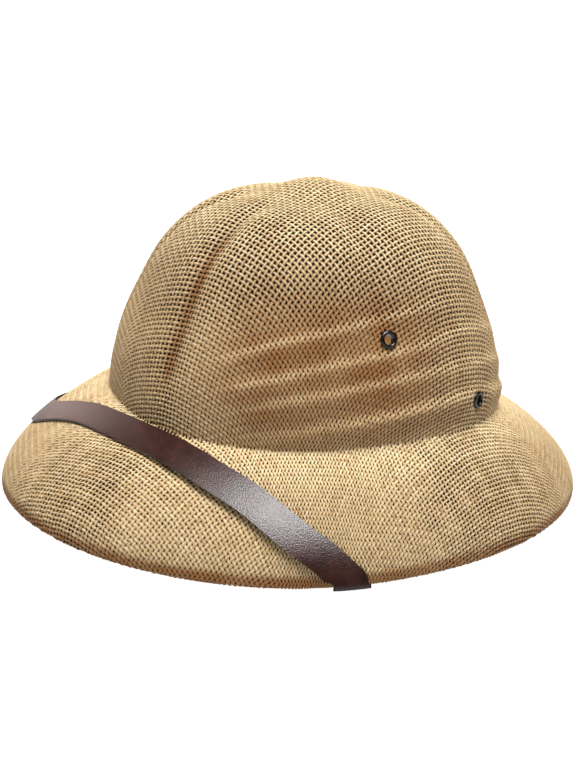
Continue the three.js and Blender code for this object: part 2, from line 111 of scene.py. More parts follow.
# %% Sizes of the hat
WALL = 2.5 * MM
RIM = {
    "half_length": 174.3 * MM,
    "half_width": 138.5 * MM,
    "plan_power": 2.03,
    "hem": 2.0 * MM,
    "height": (15.7 * MM, 1.8 * MM, 0.0),
    "rear_flat": 0.88,
}
CROWN = {
    "half_width": 104.6 * MM,
    "front_length": 111.4 * MM,
    "rear_length": 113.4 * MM,
    "centre_y": 2.5 * MM,
    "lean": 4.1 * MM,
    "plan_power": 2.2,
    "base": (67.0 * MM, 64.5 * MM, 57.2 * MM),
    "height": 118.6 * MM,
}
CAP_RADIUS, CAP_HEIGHT = 30.8 * MM, 4.2 * MM
BRIM_STRAIGHT = (0.42, 0.55, 0.6)
BRIM_POWER = (2.2, 2.3, 2.2)
PROFILE_AT = np.array([0.0, 15.0, 30.0, 45.0, 60.0, 75.0, 90.0])
PROFILE_REACH = np.array([1.0, 1.005, 1.01, 1.045, 1.05, 1.005, 1.0])
print("hat length", 2 * RIM["half_length"], "width", 2 * RIM["half_width"])

# %% Sizes of the pressed relief
CREASES = ((22, 3.0 * MM, 10), (90, 2.4 * MM, 28), (150, 2.3 * MM, 16))
CREASE_HALF_WIDTH = 6.5 * MM
CREASE_TOP, CREASE_FADE = 76, 12
FOLD_AT = np.array([0.0, 36, 48, 60, 75, 90, 105, 120, 135, 150, 180])
FOLD_LINES = {
    "a": np.array([19.0, 20.5, 24.2, 27.7, 30.5, 32.9, 34.6, 34.5, 32.0, 29.0, 27.0]),
    "b": np.array([12.0, 13.0, 15.9, 18.5, 21.9, 23.6, 25.2, 26.8, 25.0, 22.0, 20.0]),
    "c": np.array([7.0, 7.6, 9.7, 12.4, 14.8, 16.6, 17.5, 17.3, 16.2, 14.0, 12.5]),
    "d": np.array([3.0, 1.7, 2.5, 4.0, 6.4, 7.9, 9.3, 9.6, 8.1, 6.2, 5.0]),
}
FOLDS = (
    ("a", 1.35 * MM, 34, 52, 104, 150),
    ("b", 1.15 * MM, 38, 54, 135, 164),
    ("c", 1.1 * MM, 38, 70, 145, 165),
    ("d", 2.4 * MM, 40, 100, 148, 164),
)
FOLD_ABOVE, FOLD_BELOW, FOLD_DROP = 3.6 * MM, 8.0 * MM, 2.0 * MM
PER_DEGREE = 2.05 * MM
EYELETS = {"upper": (91.5, 27.4), "lower": (123.5, 6.7)}
EYELET_FLAT = 7.5 * MM
print("creases at", [c[0] for c in CREASES], "folds", [f[0] for f in FOLDS])

# %% [markdown]
# ## Small helpers for curves
#
# Numbers in a table become a smooth curve when each stretch between two rows is a cubic that
# arrives with the slope it leaves with. NumPy does this for thousands of points at once, which
# matters later, when every crossing of the straw asks for its place.


# %% Curve helpers
def through_table(at, values, where):
    row = np.clip(np.searchsorted(at, where, side="right") - 1, 0, len(at) - 2)
    span = at[row + 1] - at[row]
    slopes = np.zeros(len(at))
    slopes[1:-1] = (values[2:] - values[:-2]) / (at[2:] - at[:-2])
    t = np.clip((where - at[row]) / span, 0, 1)
    t2, t3 = t * t, t * t * t
    low = values[row] * (2 * t3 - 3 * t2 + 1) + slopes[row] * span * (t3 - 2 * t2 + t)
    return low + values[row + 1] * (3 * t2 - 2 * t3) + slopes[row + 1] * span * (t3 - t2)


def smooth_step(value, start, end):
    t = np.clip((value - start) / (end - start), 0, 1)
    return t * t * (3 - 2 * t)


def round_the_hat(around, sizes, flat=1.0):
    front, side, rear = sizes
    c = np.cos(np.radians(around))
    ahead = side + (front - side) * c * c
    behind = side + (rear - side) * np.minimum(1, c * c / flat)
    return np.where(c > 0, ahead, behind)


def signed_power(value, power):
    return np.sign(value) * np.abs(value) ** (2 / power)


def turn_between(one, other):
    return np.abs((one - other + 180) % 360 - 180)


print("a quarter of the way up the table:", float(through_table(PROFILE_AT, PROFILE_REACH, 22.5)))

# %% [markdown]
# ## Crown, brim and hem as formulas
#
# A place on the hat is given by two numbers. "Around" is the direction in degrees, from the front
# towards the wearer's left. "Down" runs from 0 at the top of the crown to 1 at its base line and
# 2 at the rim. Past 2 it turns round the hem and goes back under the brim.


# %% Plain crown and brim
def plan(around, half_width, length, power):
    turn = np.radians(around)
    x = half_width * signed_power(np.sin(turn), power)
    return x, -length * signed_power(np.cos(turn), power)


def crown_plan(around):
    ahead = np.cos(np.radians(around)) > 0
    length = np.where(ahead, CROWN["front_length"], CROWN["rear_length"])
    return plan(around, CROWN["half_width"], length, CROWN["plan_power"])


def rim_plan(around):
    return plan(around, RIM["half_width"], RIM["half_length"], RIM["plan_power"])


def rim_height(around):
    return round_the_hat(around, RIM["height"], RIM["rear_flat"])


def plain_crown(around, above):
    x, y = crown_plan(around)
    reach = through_table(PROFILE_AT, PROFILE_REACH, above)
    out, up = reach * np.cos(np.radians(above)), reach * np.sin(np.radians(above))
    x, y = x * out, CROWN["centre_y"] + CROWN["lean"] * up + y * out
    from_top = np.hypot(x, y - CROWN["centre_y"] - CROWN["lean"])
    cap = CAP_HEIGHT * smooth_step(1 - from_top / CAP_RADIUS, 0, 1)
    top = CROWN["base"][1] + CROWN["height"]
    z = round_the_hat(around, CROWN["base"]) * (1 - up) + top * up + cap
    return np.stack([x, y, z], -1)


def plain_brim(around, reach):
    crown_x, crown_y = crown_plan(around)
    crown_y = crown_y + CROWN["centre_y"]
    rim_x, rim_y = rim_plan(around)
    out = np.sin(np.radians(90 * reach))
    power = round_the_hat(around, BRIM_POWER)
    shoulder = np.maximum(1 - out**power, 0) ** (1 / power)
    straight = round_the_hat(around, BRIM_STRAIGHT)
    fall = straight * (1 - out) + (1 - straight) * shoulder
    rim, base = rim_height(around) + RIM["hem"], round_the_hat(around, CROWN["base"])
    x, y = crown_x + (rim_x - crown_x) * out, crown_y + (rim_y - crown_y) * out
    return np.stack([x, y, rim + (base - rim) * fall], -1)


top_point = plain_crown(np.array(0.0), np.array(90.0))
print("top of the crown at", np.round(top_point, 4))


# %% Normals of a surface given by two numbers
def unit(vectors):
    return vectors / np.maximum(np.linalg.norm(vectors, axis=-1, keepdims=True), 1e-12)


def normal_of(surface, first, second, step_first, step_second):
    along = surface(first + step_first, second) - surface(first - step_first, second)
    down = surface(first, second + step_second) - surface(first, second - step_second)
    return unit(np.cross(along, down))


def crown_normal(around, above):
    return normal_of(plain_crown, around, np.minimum(above, 88.0), 0.5, 0.5)


def brim_normal(around, reach):
    return normal_of(plain_brim, around, np.clip(reach, 0.004, 0.996), 0.5, -0.003)


print("front of the brim faces", np.round(brim_normal(np.array(0.0), np.array(0.5)), 2))


# %% [markdown]
# ## Pressed creases and folds
#
# The steam press leaves two kinds of relief. Creases are soft valleys that run down the crown and
# part it into six panels. Folds are the moulded ghost of the turban that such a helmet once wore:
# each has a narrow upper lip and falls away slowly below it. Both are heights along the normal,
# so a bell curve across each line is all that is needed, with two widths for a fold.


# %% Relief of the crown
def crease_relief(around, above, ring_radius):
    relief = 0.0
    top = 1 - smooth_step(above, CREASE_TOP - CREASE_FADE, CREASE_TOP)
    for at, depth, foot in CREASES:
        end = smooth_step(above, foot - CREASE_FADE / 2, foot + CREASE_FADE)
        for side in (1, -1):
            away = np.radians(turn_between(around, side * at)) * ring_radius
            relief = relief - depth * top * end * np.exp(-((away / CREASE_HALF_WIDTH) ** 2))
    return relief


def fold_relief(around, above):
    side, relief = turn_between(around, 0), 0.0
    for line, height, start, full, end, gone in FOLDS:
        fade = smooth_step(side, start, full) * (1 - smooth_step(side, end, gone))
        away = (above - through_table(FOLD_AT, FOLD_LINES[line], side)) * PER_DEGREE
        away = away + FOLD_DROP
        ridge = np.exp(-((away / np.where(away > 0, FOLD_ABOVE, FOLD_BELOW)) ** 2))
        relief = relief + height * fade * ridge
    return relief * smooth_step(above, 0, 1.2)


def eyelet_distance(around, above, ring_radius, place):
    across = np.radians(turn_between(turn_between(around, 0), place[0])) * ring_radius
    return np.hypot(across, (above - place[1]) * PER_DEGREE)


def crown_relief(around, above):
    reach = through_table(PROFILE_AT, PROFILE_REACH, above)
    ring_radius = CROWN["half_width"] * reach * np.cos(np.radians(above))
    relief = crease_relief(around, above, ring_radius) + fold_relief(around, above)
    for place in EYELETS.values():
        away = eyelet_distance(around, above, ring_radius, place)
        relief = relief * (1 - np.exp(-((away / EYELET_FLAT) ** 4)))
    return relief


def crown_face(around, above, depth):
    height = crown_relief(around, above) - depth
    return plain_crown(around, above) + crown_normal(around, above) * height[..., None]


side_line = crown_relief(np.full(5, 75.0), np.array([30.5, 21.9, 14.8, 6.4, 40.0]))
print("relief at the four lips and above them, in mm:", np.round(side_line / MM, 2))


# %% The hem, and one skin from the crown to the underside
UNDER_START, UNDER_END = 0.65, 0.81
HEM_SCALE = 70 * MM


def brim_face(around, reach, depth):
    return plain_brim(around, reach) - brim_normal(around, reach) * depth[..., None]


def brim_thickness(reach):
    t = np.clip((reach - UNDER_START) / (UNDER_END - UNDER_START), 0, 1)
    return WALL + (2 * RIM["hem"] - WALL) * t


def hem_face(around, turn, lift):
    ahead, behind = rim_plan(around + 0.5), rim_plan(around - 0.5)
    along = np.stack([ahead[0] - behind[0], ahead[1] - behind[1], 0 * around], -1)
    outward = unit(np.cross(along, np.array([0.0, 0.0, 1.0])))
    point = plain_brim(around, np.ones_like(around))
    radius = RIM["hem"]
    reach_out = (radius + lift) * np.cos(turn) - radius
    drop = np.minimum(1, np.sin(turn) / math.sin(math.radians(60)))
    point = point + outward * reach_out[..., None]
    point[..., 2] -= radius * drop + lift * np.sin(turn)
    return point


def by_zone(shape, zones):
    """Fills an array of points. Each zone is a mask and the surface that its points lie on."""
    points = np.zeros(shape + (3,))
    for inside, surface in zones:
        if inside.any():
            points[inside] = surface(inside)
    return points


def skin(around, down, lift):
    """A point of the outer skin, lifted off it. Down is 0 on top, 1 at the base, 2 at the rim."""
    lift = lift + 0 * down
    past = np.maximum(down - 2, 0) * HEM_SCALE
    turn = np.minimum(past / RIM["hem"], math.pi)
    under = np.clip(1 - (past - math.pi * RIM["hem"]) / (45 * MM), 0, 1)
    return by_zone(down.shape, [
        (down <= 1, lambda m: crown_face(around[m], 90 * (1 - down[m]), -lift[m])),
        ((down > 1) & (down <= 2), lambda m: brim_face(around[m], down[m] - 1, -lift[m])),
        ((down > 2) & (turn < math.pi), lambda m: hem_face(around[m], turn[m], lift[m])),
        (
            (down > 2) & (turn >= math.pi),
            lambda m: brim_face(around[m], under[m], brim_thickness(under[m]) + lift[m]),
        ),
    ])


samples = skin(np.array([90.0] * 4), np.array([0.5, 1.5, 2.0, 2.06]), 0.0)
print("four points down the left side, in mm:")
print(np.round(samples / MM, 1))

# %% [markdown]
# ## Laying the straw
#
# A woven hood is two families of yarns that cross over and under. They can't stretch, but the
# small squares between them can lean into diamonds, and that is how flat cloth takes a round
# shape. A sewing pattern maker calls it a fishnet: starting from two yarns that cross on the top,
# every next crossing lies one yarn pitch from its two neighbours, and there is only one place on
# the surface where that is true. A texture would slide and stretch over the crown, while this
# gives the open squares and the closed diamonds where the real hat has them.
#
# The net is worked out in a flat map, where the distance from the middle is "down". Each new
# crossing starts from a guess and is moved by Newton's method until both distances are right. A
# whole diagonal of crossings is solved at once, in all four quarters of the hat.

# %% Sizes of the weave
PITCH_ON_CROWN, PITCH_ON_BRIM = 2.95 * MM, 2.5 * MM
FIRST_YARNS = (25.5, 110.6, 205.5, 290.6)
NET_REACH = 180
NET_END = 2.13


def read_map(place):
    """A place of the flat map as around and down."""
    around = np.degrees(np.arctan2(place[..., 0], -place[..., 1]))
    return around, np.hypot(place[..., 0], place[..., 1])


def pitch_at(place):
    """The block stretches the straw most over the top, so its yarns lie further apart there."""
    down = read_map(place)[1]
    return PITCH_ON_CROWN + (PITCH_ON_BRIM - PITCH_ON_CROWN) * smooth_step(down, 0.4, 1.05)


def from_map(place, lift=0.0):
    around, down = read_map(place)
    return skin(around, down, lift)


def plain_from_map(place):
    """The same surface without relief, which the net is laid on before it is pressed."""
    around, down = read_map(place)
    crown = down < 1
    points = np.zeros(place.shape[:-1] + (3,))
    points[crown] = plain_crown(around[crown], 90 * (1 - down[crown]))
    points[~crown] = skin(around[~crown], np.maximum(down[~crown], 1 + 1e-9), 0.0)
    return points


# %% The first two yarns
WALK_END, WALK_STEPS = 2.6, 5201
NET_LIMIT = 2.3


def yarn_from_top(direction):
    turn = math.radians(direction)
    ahead = np.array([math.sin(turn), -math.cos(turn)])
    down = np.linspace(0, WALK_END, WALK_STEPS)
    places = down[:, None] * ahead
    steps = np.linalg.norm(np.diff(plain_from_map(places), axis=0), axis=1)
    crossings = np.concatenate([[0], np.cumsum(steps / pitch_at(places[1:]))])
    return np.interp(np.arange(NET_REACH), crossings, down)[:, None] * ahead


# %% Solve one diagonal of crossings
NET_NUDGE = 1e-4
NET_ROUNDS, LONGEST_STEP = 5, 0.02


def settle(place, first, second):
    """Moves each place until it lies one pitch from its two neighbours."""
    pitch = pitch_at(place)
    for _ in range(NET_ROUNDS):
        point = plain_from_map(place)
        slopes = [
            (plain_from_map(place + np.array(step) * NET_NUDGE) - point) / NET_NUDGE
            for step in ((1, 0), (0, 1))
        ]
        miss = [((point - near) ** 2).sum(-1) - pitch**2 for near in (first, second)]
        rows = [[2 * ((point - near) * s).sum(-1) for s in slopes] for near in (first, second)]
        spread = rows[0][0] * rows[1][1] - rows[0][1] * rows[1][0]
        spread = np.where(np.abs(spread) < 1e-12, 1e-12, spread)
        across = (miss[0] * rows[1][1] - miss[1] * rows[0][1]) / spread
        along = (miss[1] * rows[0][0] - miss[0] * rows[1][0]) / spread
        step = np.stack([across, along], -1)
        size = np.linalg.norm(step, axis=-1, keepdims=True)
        place = place - step * np.minimum(1, LONGEST_STEP / np.maximum(size, 1e-12))
    return place, plain_from_map(place)


def lay_quarters():
    starts = [yarn_from_top(direction) for direction in FIRST_YARNS]
    places = np.full((4, NET_REACH, NET_REACH, 2), np.nan)
    points = np.full((4, NET_REACH, NET_REACH, 3), np.nan)
    for q in range(4):
        places[q, :, 0], places[q, 0, :] = starts[q], starts[(q + 1) % 4]
    points[:, :, 0] = plain_from_map(places[:, :, 0])
    points[:, 0, :] = plain_from_map(places[:, 0, :])
    for diagonal in range(2, 2 * NET_REACH - 1):
        i = np.arange(max(1, diagonal - NET_REACH + 1), min(NET_REACH - 1, diagonal - 1) + 1)
        j = diagonal - i
        one, two, corner = places[:, i - 1, j], places[:, i, j - 1], places[:, i - 1, j - 1]
        nearest = np.minimum(np.hypot(*np.moveaxis(one, -1, 0)), np.hypot(*np.moveaxis(two, -1, 0)))
        guess = one + two - corner
        live = np.isfinite(guess).all(-1) & (nearest < NET_LIMIT)
        if not live.any():
            continue
        place, point = settle(guess[live], points[:, i - 1, j][live], points[:, i, j - 1][live])
        quarter, at = np.nonzero(live)
        places[quarter, i[at], j[at]] = place
        points[quarter, i[at], j[at]] = point
    return places


def join_quarters(quarters):
    """One square net: the first family of yarns along its rows, the second along its columns."""
    n = NET_REACH - 1
    net = np.full((2 * n + 1, 2 * n + 1, 2), np.nan)
    net[n:, n:] = quarters[0]
    net[n::-1, n:] = np.swapaxes(quarters[1], 0, 1)
    net[n::-1, n::-1] = quarters[2]
    net[n:, n::-1] = np.swapaxes(quarters[3], 0, 1)
    return net


net = join_quarters(lay_quarters())
net_down = np.hypot(net[..., 0], net[..., 1])
on_hat = np.isfinite(net_down) & (net_down <= NET_END)
print("crossings on the hat:", int(on_hat.sum()))

# %% [markdown]
# ## The shell under the straw
#
# Between the yarns one looks into dark little cells, and behind them is the rest of the wall. So
# the shell is one closed body a little inside the woven face. It is made as a maker bends a sheet:
# a flat grid is added, its columns are taken round the hat and its rows from the top of the
# outside, over the hem and back up the inside. Then the seam and the two ends are merged.

# %% Rows of the shell's section
WEAVE_DEPTH = 0.8 * MM
SHELL_COLUMNS = 240
OUTSIDE_ROWS = np.concatenate([
    np.linspace(0.004, 0.6, 34),
    np.linspace(0.6, 0.985, 58)[1:],
    [0.994, 1.0, 1.012],
    np.linspace(1.03, 1.94, 30),
    [1.965, 1.985, 2.0],
])
HEM_TURNS = np.radians([22, 45, 70, 95, 120, 145, 165])
INSIDE_BRIM = np.concatenate([[1.0, 0.96, 0.9, 0.84, 0.81, 0.73, 0.65], np.linspace(0.58, 0.0, 12)])
INSIDE_CROWN = np.linspace(1.0, 89.64, 48)


def section_rows(around):
    """The points of every row at these directions, outside first."""
    rows = [skin(around, np.full_like(around, down), -WEAVE_DEPTH) for down in OUTSIDE_ROWS]
    sunk = np.full_like(around, -WEAVE_DEPTH)
    rows += [hem_face(around, np.full_like(around, turn), sunk) for turn in HEM_TURNS]
    for reach in INSIDE_BRIM:
        reaches = np.full_like(around, reach)
        deep = np.where(reach > UNDER_END, WEAVE_DEPTH, 0.0)
        rows.append(brim_face(around, reaches, brim_thickness(reaches) - deep))
    for above in INSIDE_CROWN:
        rows.append(crown_face(around, np.full_like(around, above), np.full_like(around, WALL)))
    return np.stack(rows)


# %% Bend the sheet into the shell
def deselect_all():
    bpy.ops.object.select_all(action="DESELECT")


def clean_mesh(obj, merge=0.02 * MM):
    """Merges doubles and turns the faces outwards."""
    bpy.context.view_layer.objects.active = obj
    bpy.ops.object.mode_set(mode="EDIT")
    bpy.ops.mesh.select_all(action="SELECT")
    bpy.ops.mesh.remove_doubles(threshold=merge)
    bpy.ops.mesh.normals_make_consistent(inside=False)
    bpy.ops.object.mode_set(mode="OBJECT")


def count_triangles(obj):
    obj.data.calc_loop_triangles()
    return len(obj.data.loop_triangles)


def wrapped_sheet(name, points):
    """Adds a flat grid and moves its vertices to an array of rows and columns of points."""
    deselect_all()
    rows, columns = points.shape[:2]
    bpy.ops.mesh.primitive_grid_add(x_subdivisions=columns - 1, y_subdivisions=rows - 1, size=1)
    sheet = bpy.context.object
    sheet.name = name
    flat = np.zeros(len(sheet.data.vertices) * 3, np.float32)
    sheet.data.vertices.foreach_get("co", flat)
    place = flat.reshape(-1, 3) + 0.5
    row = np.rint(place[:, 1] * (rows - 1)).astype(int)
    column = np.rint(place[:, 0] * (columns - 1)).astype(int)
    sheet.data.vertices.foreach_set("co", points[row, column].astype(np.float32).ravel())
    sheet.data.update()
    return sheet


def make_shell():
    around = np.linspace(0, 360, SHELL_COLUMNS + 1)
    points = section_rows(around)
    points[:, -1] = points[:, 0]
    points[0] = points[0].mean(0)
    points[-1] = points[-1].mean(0)
    shell = wrapped_sheet("helmet_body", points)
    clean_mesh(shell)
    bpy.ops.object.shade_smooth()
    return shell


helmet_body = make_shell()
print("shell triangles:", count_triangles(helmet_body))

# %% [markdown]
# ## Vent holes
#
# Metal eyelets sit in four holes of the crown. Each place is a small frame of its own: its middle
# is on the plain crown and its Z axis is the outward normal. The same frames cut the holes with a
# Boolean modifier, place the eyelets, and tell the yarns where to stop.


# %% Frames on the crown
def frame_on_crown(around, above):
    place = (np.array(float(around)), np.array(float(above)))
    outward = Vector(crown_normal(*place))
    turn = Vector((0, 0, 1)).rotation_difference(outward)
    return Matrix.Translation(Vector(plain_crown(*place))) @ turn.to_matrix().to_4x4()


EYELET_FRAMES = {
    f"{side}_{level}": frame_on_crown(sign * place[0], place[1])
    for side, sign in (("left", 1), ("right", -1))
    for level, place in EYELETS.items()
}
VENT_RADIUS = 3.9 * MM


def apply_modifier(obj, kind, **settings):
    bpy.context.view_layer.objects.active = obj
    modifier = obj.modifiers.new(kind.lower(), kind)
    for key, value in settings.items():
        setattr(modifier, key, value)
    bpy.ops.object.modifier_apply(modifier=modifier.name)


def cut_round_hole(obj, placed, radius, depth=20 * MM):
    deselect_all()
    bpy.ops.mesh.primitive_cylinder_add(vertices=48, radius=radius, depth=depth)
    cutter = bpy.context.object
    cutter.data.transform(placed)
    apply_modifier(obj, "BOOLEAN", operation="DIFFERENCE", object=cutter, solver="EXACT")
    bpy.data.objects.remove(cutter)


for placed in EYELET_FRAMES.values():
    cut_round_hole(helmet_body, placed, VENT_RADIUS)
print("shell with its vents:", count_triangles(helmet_body), "triangles")

# %% [markdown]
# ## Yarns
#
# Each yarn is a flat strip of twisted paper. It could be a bump pattern, but then the edge of the
# hat and the light on the crown would give it away. So every yarn is a real closed strip: one ring
# of four corners at each crossing and one between crossings, over, level, under, level, and so on.
# Where the net leans into diamonds the strips have less room, and get narrower. They are packed
# closer where the base was moulded, and in patches that come from a few waves. The patches only
# resemble the photograph's: which crossing is loose and which is close is invented.

# %% Sizes of one yarn
OPEN_FILL, TIGHT_FILL = 0.56, 0.84
YARN_THICKNESS = 0.5 * MM
YARN_SWING = 0.3 * MM
YARN_MIDDLE = -0.36 * MM
YARN_FILL = 0.84
YARN_WIDTH_SPREAD, YARN_WANDER = 0.09, 0.07 * MM
# Painted shade: "deep" darkens a yarn where it dives under another, less where the weave is tight,
# and most on its two lower corners.
SHADE_EASED_WHERE_TIGHT = 0.35
SHADED_LOWER_CORNERS = (0.6, 0.0, 0.0, 0.6)
YARN_STOP = 4.3 * MM
YARN_CORNERS = ((-0.5, -0.4), (-0.24, 0.5), (0.24, 0.5), (0.5, -0.4))


def crossing_room():
    """The sine of the angle between the two families at each crossing."""
    points = np.full(net.shape[:2] + (3,), np.nan)
    points[on_hat] = from_map(net[on_hat])
    along = np.full_like(points, np.nan)
    across = np.full_like(points, np.nan)
    along[1:-1] = points[2:] - points[:-2]
    across[:, 1:-1] = points[:, 2:] - points[:, :-2]
    room = np.linalg.norm(np.cross(unit(along), unit(across)), axis=-1)
    return np.where(np.isfinite(room), room, 0.8)


net_room = crossing_room()
narrowest = math.degrees(math.asin(float(net_room[on_hat].min())))
print("narrowest diamond:", round(narrowest, 1), "degrees")


CROWN_PATCHES, BRIM_PATCHES = 0.25, 0.5


def patches(places):
    """Loose and close patches, a centimetre or two wide, from a few crossing waves."""
    waves = ((37, 11, 0), (-14, 33, 2), (23, -27, 4), (9, 16, 1))
    return sum(np.sin(a * places[:, 0] + b * places[:, 1] + c) for a, b, c in waves) / len(waves)


def tightness(places):
    """How closely the yarns are packed: 0 on the open panels, 1 where the base was moulded."""
    around, down = read_map(places)
    side = turn_between(around, 0)
    folds = smooth_step(side, 20, 42) * (1 - smooth_step(side, 84, 112))
    crown = smooth_step(down, 0.5, 0.78) * (0.4 + 0.6 * folds)
    crown = crown * (1 - 0.7 * np.exp(-(((side - CREASES[0][0]) / 4) ** 2)))
    crown = np.maximum(crown, 0.4 * (1 - smooth_step(down, 0.1, 0.28)))
    brim = np.maximum(folds, 0.45 - 0.2 * smooth_step(down, 1.1, 1.3))
    strength = np.where(down < 1, CROWN_PATCHES, BRIM_PATCHES)
    return np.clip(np.where(down < 1, crown, brim) + strength * patches(places), 0, 1)


# %% Follow each yarn through the net
def runs(mask):
    """Start and end of each unbroken run of True."""
    edges = np.flatnonzero(np.diff(np.concatenate([[0], mask.astype(int), [0]])))
    return list(zip(edges[::2], edges[1::2]))


def with_middles(values):
    between = (values[1:] + values[:-1]) / 2
    doubled = np.zeros((len(values) * 2 - 1,) + values.shape[1:])
    doubled[::2], doubled[1::2] = values, between
    return doubled


def stop_at_eyelets(places, extras):
    """Cuts a yarn where it meets an eyelet. Its new end lies exactly on a circle round the hole."""
    points = from_map(places)
    middles = np.array([placed.translation for placed in EYELET_FRAMES.values()])
    away = np.linalg.norm(points[:, None] - middles, axis=-1).min(1) - YARN_STOP
    for start, end in runs(away > 0):
        rows = [(places[start:end], [e[start:end] for e in extras])]
        for inner, outer, first in ((start - 1, start, True), (end, end - 1, False)):
            if 0 <= inner < len(places):
                t = away[outer] / (away[outer] - away[inner])
                cut = [
                    v[outer : outer + 1] * (1 - t) + v[inner : inner + 1] * t
                    for v in (places, *extras)
                ]
                rows.insert(0, (cut[0], cut[1:])) if first else rows.append((cut[0], cut[1:]))
        yield np.concatenate([r[0] for r in rows]), [
            np.concatenate([r[1][k] for r in rows]) for k in range(len(extras))
        ]


def follow_yarns(places, room, hat, over):
    """All yarns that run along the rows of the net. Over is +1 or -1 for the crossing at (0, 0)."""
    yarns = []
    for row in range(len(places)):
        for start, end in runs(hat[row]):
            if end - start < 3:
                continue
            swing = over * (1 - 2 * ((np.arange(start, end) + row) % 2)).astype(float)
            doubled = with_middles(places[row, start:end])
            extras = [with_middles(swing), with_middles(room[row, start:end])]
            for place, (height, wide) in stop_at_eyelets(doubled, extras):
                if len(place) > 2:
                    yarns.append((place, height, wide))
    return yarns


warp_yarns = follow_yarns(net, net_room, on_hat, 1)
weft_yarns = follow_yarns(np.swapaxes(net, 0, 1), net_room.T, on_hat.T, -1)
print("yarn pieces:", len(warp_yarns), "and", len(weft_yarns))

# %% [markdown]
# ## Colour that a yarn carries
#
# Paper straw is dyed by the bundle, so each yarn has its own tone, which drifts a little on its
# way. A second value darkens the straw to brown: along the rim it is partly toast and partly
# painted shade, the outer brim is a little darker, each crease has a narrow dark line, and low on
# the crown it is painted shade, eased on the lips of the folds as a painted highlight. Both are
# worked out once for each ring and stored on the mesh, where the material can read them.

# %% Tone, toast and painted shade
random = np.random.default_rng(8)


def yarn_tones(count):
    drift = np.convolve(random.normal(0, 0.16, count + 8), np.ones(9) / 3, "valid")
    return np.clip(0.5 + random.normal(0, 0.08) + drift * 0.6 + random.normal(0, 0.12, count), 0, 1)


CREASE_LINE_STRENGTHS, CREASE_LINE_HALF_WIDTH = (0.8, 0.12, 0.3), 3.6 * MM
LIP_HALF_WIDTH = 2.6 * MM


def crease_darkening(around, above):
    """A narrow brown line darkens each crease, darkest in the front pair."""
    radius = CROWN["half_width"] * np.cos(np.radians(above))
    darkening = 0.0
    for (at, _, _), strength in zip(CREASES, CREASE_LINE_STRENGTHS):
        away = np.abs(turn_between(turn_between(around, 0), at)) * radius * math.radians(1)
        length = smooth_step(above, 8, 18) * (1 - smooth_step(above, 48, 66))
        darkening = darkening + strength * length * np.exp(-((away / CREASE_LINE_HALF_WIDTH) ** 2))
    return darkening


def toast_and_shade_at(places):
    around, down = read_map(places)
    above = 90 * (1 - np.clip(down, 0, 1))
    side = turn_between(around, 0)
    # Darker along the rim, partly toast and partly painted shade, and a little darker over the
    # outer brim.
    toast = 0.75 * smooth_step(down, 1.88, 1.97) + 0.3 * smooth_step(down, 1.08, 1.5)
    # Painted shade low on the crown, strongest on the sides and weaker right at the base.
    low = smooth_step(down, 0.35, 0.68) * (0.42 + 0.52 * smooth_step(side, 26, 58))
    low = low * (1 - 0.5 * smooth_step(side, 90, 120)) * (1 - 0.3 * smooth_step(down, 0.88, 1.0))
    # Painted highlight: the shade is eased along the lips of the folds.
    for line, _, start, full, end, gone in FOLDS:
        fade = smooth_step(side, start, full) * (1 - smooth_step(side, end, gone))
        away = (above - through_table(FOLD_AT, FOLD_LINES[line], side)) * PER_DEGREE
        low = low * (1 - 0.4 * fade * np.exp(-((away / LIP_HALF_WIDTH) ** 2)))
    return np.clip(toast + (low + crease_darkening(around, above)) * (down < 1), 0, 1)


# %% Turn yarns into strips
def strip_faces(lengths):
    """Sides and end caps of many four-sided strips that lie one after another."""
    quads, start = [], 0
    corners = np.array([0, 1, 2, 3])
    for length in lengths:
        ring = start + 4 * np.arange(length - 1)[:, None] + corners
        turned = start + 4 * np.arange(length - 1)[:, None] + np.roll(corners, -1)
        quads.append(np.stack([ring, ring + 4, turned + 4, turned], -1).reshape(-1, 4))
        last = start + 4 * (length - 1)
        quads.append(np.stack([start + corners, last + corners[::-1]]))
        start += 4 * length
    return np.concatenate(quads).tolist()


